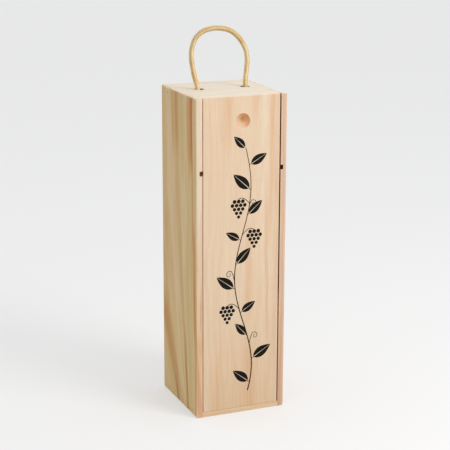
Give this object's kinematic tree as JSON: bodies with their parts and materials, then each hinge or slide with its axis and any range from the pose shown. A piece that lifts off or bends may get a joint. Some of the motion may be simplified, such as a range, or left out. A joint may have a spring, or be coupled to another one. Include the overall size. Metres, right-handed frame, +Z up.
{
  "type": "wooden wine box",
  "caption": "Upright pine box for a single bottle, with a lid that slides up out of side grooves, a neck rest inside and a rope carrying handle.",
  "frame": {"origin": "on the base, under the middle of the box", "axes": "+Z up, +X to the right as the lid is faced, +Y towards the back panel, so the lid faces -Y"},
  "size_m": [0.103, 0.103, 0.417],
  "materials": {
    "side_pine": "sanded bare pine with orange heartwood bands",
    "back_pine": "sanded bare pine",
    "top_pine": "sanded bare pine, pale",
    "bottom_pine": "sanded bare pine",
    "lid_pine": "sanded bare pine, straight grain",
    "rest_plywood": "thin plywood with dark cut edges",
    "rope": "fine braided cord, undyed",
    "brad_steel": "dull steel",
    "print_ink": "black screen print, matt"
  },
  "bodies": {
    "case": {"left_side": "side_pine", "right_side": "side_pine", "back_panel": "back_pine", "top_board": "top_pine", "bottom_board": "bottom_pine", "neck_rest": "rest_plywood", "left_rope_end": "rope", "right_rope_end": "rope", "bottom_left_brads": "brad_steel", "bottom_right_brads": "brad_steel", "top_left_brads": "brad_steel", "top_right_brads": "brad_steel", "back_top_brads": "brad_steel", "back_bottom_brads": "brad_steel"},
    "lid": {"lid": "lid_pine"},
    "handle": {"handle_rope": "rope"}
  },
  "joints": [
    {"name": "lid_slide", "type": "slide", "parent": "case", "child": "lid", "axis": [0, 0, 1], "range_m": [0, 0.345]},
    {"name": "handle_swing", "type": "hinge", "parent": "case", "child": "handle", "pos_m": [0, 0.006, 0.3535], "axis": [1, 0, 0], "range_deg": [-85, 40], "stiffness_Nm_per_rad": 0.02}
  ]
}
